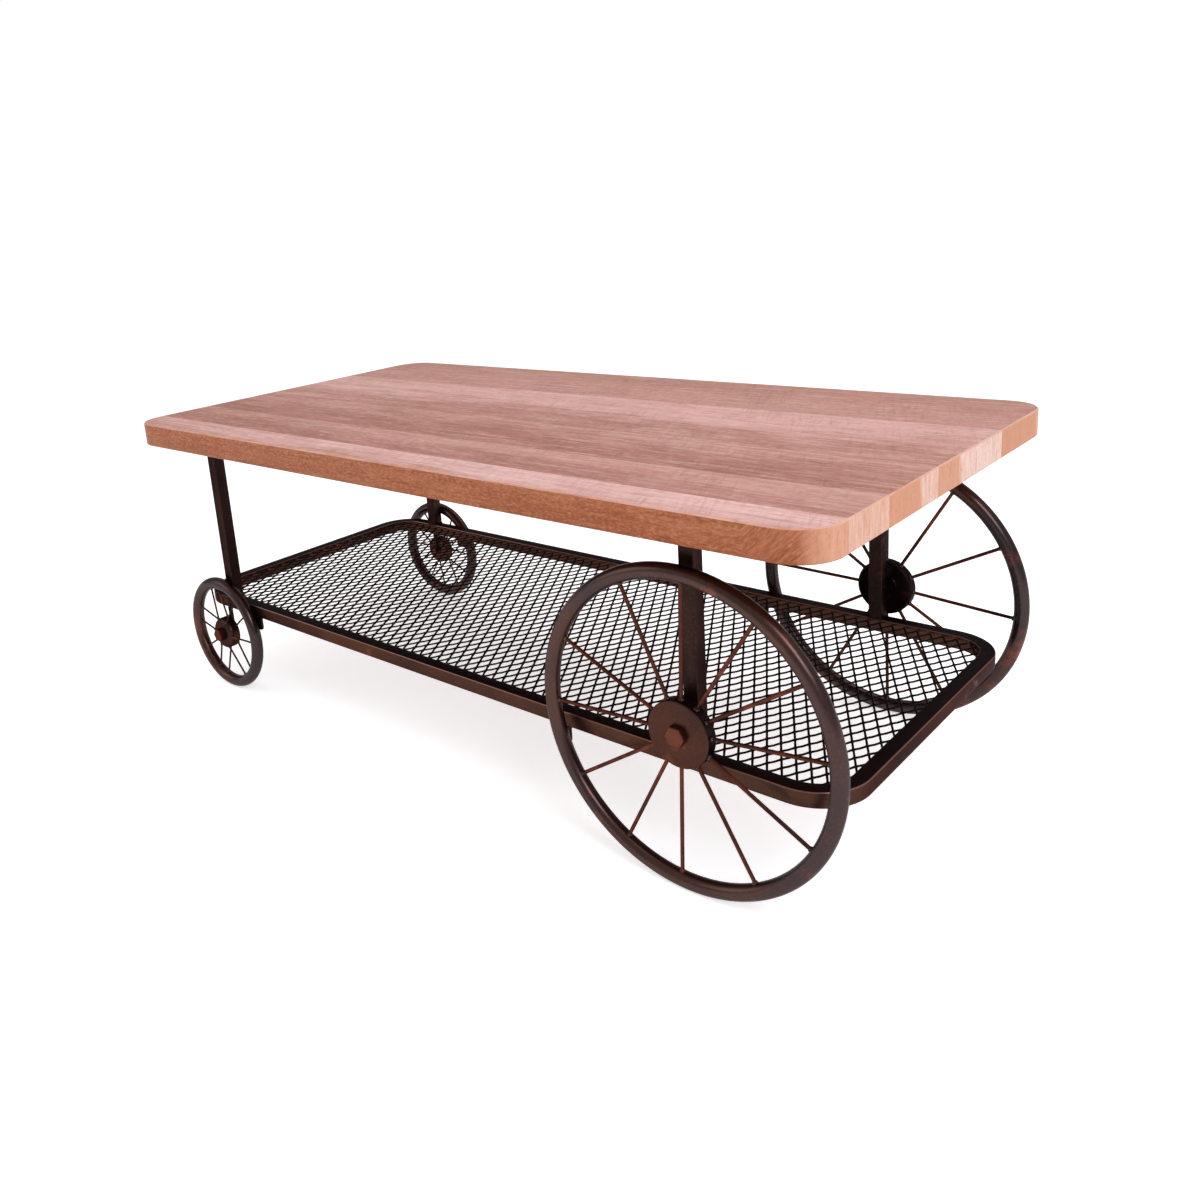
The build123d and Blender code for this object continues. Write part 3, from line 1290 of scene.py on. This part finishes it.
@dataclass
class RunningGear:
    """The four wheels with their bolts, nuts, straps and tabs."""

    rim: SteelFinish = SteelFinish(
        "rim_steel", srgb(52, 40, 41), srgb(74, 47, 38), rubbed=0.22, roughness=0.27, coat=0.32
    )
    spoke: SteelFinish = SteelFinish("spoke_steel", srgb(50, 32, 29), srgb(96, 52, 37), rubbed=0.35)
    hub: SteelFinish = SteelFinish("hub_steel", srgb(56, 38, 34), srgb(80, 49, 39), rubbed=0.16)
    bolt: SteelFinish = SteelFinish("bolt_steel", srgb(82, 48, 40), srgb(106, 60, 45), rubbed=0.15)
    # Darker steel for a cup hub's side and inside: painted shade
    inside: SteelFinish = SteelFinish("hub_inside_shade_steel", srgb(34, 25, 26), srgb(46, 32, 30), rubbed=0.05)
    bracket: SteelFinish = SteelFinish("bracket_steel", srgb(38, 28, 27), srgb(56, 38, 32), rubbed=0.1)

    def build(self) -> None:
        """Build the wheels and dress what holds them."""
        finishes = (self.rim, self.spoke, self.hub, self.inside, self.bolt, self.bracket)
        rim, spoke, hub, inside, bolt, bracket = (finish.material() for finish in finishes)
        for size in WheelSize:
            for side in Side:
                Wheel(size, side, rim, spoke, hub, inside).build()
                paint(f"axle_bolt_{size.value}_{side.word}", bolt)
                trim = 0.0095 if size is WheelSize.LARGE else 0.0
                RimTab(f"rim_tab_{size.value}_{side.word}", bracket, trim).build()
        for side in Side:
            paint(f"axle_nut_large_{side.word}", bracket)
            paint(f"axle_strap_{side.word}", bracket)


# Studio ---------------------------------------------------------------------------


@dataclass(frozen=True)
class Panel:
    """A soft panel light: its place, where it points, its two sides, its power and its colour."""

    name: str
    at: Triple
    to: Triple
    width: float
    height: float
    watts: float
    colour: Colour

    def hang(self) -> None:
        """Add the light to the scene."""
        data = bpy.data.lights.new(self.name, "AREA")
        data.shape = "RECTANGLE"
        data.size = self.width
        data.size_y = self.height
        data.energy = self.watts
        data.color = self.colour
        lamp = bpy.data.objects.new(self.name, data)
        lamp.location = self.at
        lamp.rotation_euler = (Vector(self.to) - Vector(self.at)).to_track_quat("-Z", "Y").to_euler()
        bpy.context.scene.collection.objects.link(lamp)


PANELS = (
    Panel("sky_panel", (0.3, 0.4, 2.6), (0.0, 0.0, 0.3), 2.6, 2.6, 25.0, (1.0, 0.99, 0.98)),
    Panel("right_panel", (2.45, -1.25, 2.1), (0.2, 0.0, 0.25), 1.1, 1.3, 34.0, (0.84, 0.87, 1.0)),
    Panel("left_panel", (-2.4, -2.0, 1.4), (0.0, 0.0, 0.25), 1.6, 1.6, 12.5, (1.0, 0.97, 0.94)),
)
WHITE = (1.0, 1.0, 1.0)
FLOOR_GREY = (0.9, 0.9, 0.9)


@dataclass
class Studio:
    """Floor, lamps and camera.

    Attributes:
        floor_size: Side of the floor.
        floor_glow: What the floor adds where a viewer or a reflection sees it.
        world_light: Strength of the surrounding light.
    """

    floor_size: float = 30.0
    floor_glow: float = 0.6
    world_light: float = 0.55

    def build(self) -> None:
        """Set up the floor, the world, the lamps and the camera."""
        self._floor()
        self._world()
        for panel in PANELS:
            panel.hang()
        self._camera()
        bpy.context.scene.view_settings.view_transform = "Standard"

    def _floor(self) -> None:
        """Lay a floor that a viewer sees as plain white but for the soft shadow."""
        mesh = bmesh.new()
        half = self.floor_size / 2
        corners = ((-half, -half), (half, -half), (half, half), (-half, half))
        mesh.faces.new([mesh.verts.new((x, y, 0)) for x, y in corners])
        graph = Graph(bpy.data.materials.new("floor_white"))
        base = graph.fill(graph.node("BsdfDiffuse"), Color=FLOOR_GREY)
        glow = graph.fill(graph.node("Emission"), Color=WHITE, Strength=self.floor_glow)
        none = graph.fill(graph.node("Emission"), Strength=0.0)
        path = graph.node("LightPath").outputs
        seen = graph.math("MAXIMUM", path["Is Camera Ray"], path["Is Glossy Ray"])
        shown = graph.fill(graph.node("MixShader"), seen, none, glow)
        graph.feed(graph.output.inputs[0], graph.fill(graph.node("AddShader"), base, shown))
        floor = new_object("floor", mesh, graph.owner)

    def _world(self) -> None:
        """Surround the table with plain light, seen as white."""
        world = bpy.data.worlds.new("plain_white")
        bpy.context.scene.world = world
        graph = Graph(world, "OutputWorld")
        seen = graph.fill(graph.node("Background"), Color=WHITE, Strength=1.0)
        light = graph.fill(graph.node("Background"), Color=WHITE, Strength=self.world_light)
        path = graph.node("LightPath").outputs
        shown = graph.fill(graph.node("MixShader"), path["Is Camera Ray"], light, seen)
        graph.feed(graph.output.inputs[0], shown)

    def _camera(self) -> None:
        """Place the camera above the table's front right corner."""
        yaw, pitch, roll = (math.radians(v) for v in (CAMERA.yaw, CAMERA.pitch, CAMERA.roll))
        level_forward = Vector((-math.sin(yaw), math.cos(yaw), 0))
        forward = level_forward * math.cos(pitch) - Vector((0, 0, math.sin(pitch)))
        right = Vector((math.cos(yaw), math.sin(yaw), 0))
        up = right.cross(forward)
        level = right * math.cos(roll) + up * math.sin(roll)
        raised = up * math.cos(roll) - right * math.sin(roll)
        data = bpy.data.cameras.new("camera")
        data.sensor_width = SENSOR_WIDTH
        data.lens = CAMERA.focal / FRAME_SIDE * SENSOR_WIDTH
        data.shift_x = (FRAME_SIDE / 2 - CAMERA.middle_x) / FRAME_SIDE
        data.shift_y = (CAMERA.middle_y - FRAME_SIDE / 2) / FRAME_SIDE
        camera = bpy.data.objects.new("camera", data)
        turn = Matrix((level, raised, -forward)).transposed().to_4x4()
        camera.matrix_world = Matrix.Translation(Vector(CAMERA.place)) @ turn
        bpy.context.scene.collection.objects.link(camera)
        bpy.context.scene.camera = camera


@dataclass(frozen=True)
class CameraSet:
    """The camera's place and lens, its frame counted as 1200 by 1200.

    Attributes:
        focal: Focal length in that frame's units.
        middle_x: Where the lens axis meets the frame, from the left.
        middle_y: The same from the top.
        place: Place in metres.
        yaw: Turn about Z; 0 looks along +Y.
        pitch: Tilt down.
        roll: Turn about the lens axis.
    """

    focal: float
    middle_x: float
    middle_y: float
    place: Triple
    yaw: float
    pitch: float
    roll: float


FRAME_SIDE = 1200
SENSOR_WIDTH = 36
CAMERA = CameraSet(1067.04, 520.73, 474.96, (1.01461, -1.11922, 0.75918), 43.33, 14.42, -4.43)


def main() -> None:
    """Build the table's looks, piece by piece, and the studio round it."""
    logging.basicConfig(level=logging.INFO, format="%(name)s: %(message)s")
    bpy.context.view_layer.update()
    Tabletop().dress()
    Legs().build()
    ShelfFrame().build()
    ExpandedShelf().build()
    RunningGear().build()
    Welds().build()
    Studio().build()
    log.info("sizes written")


if __name__ == "__main__":
    main()
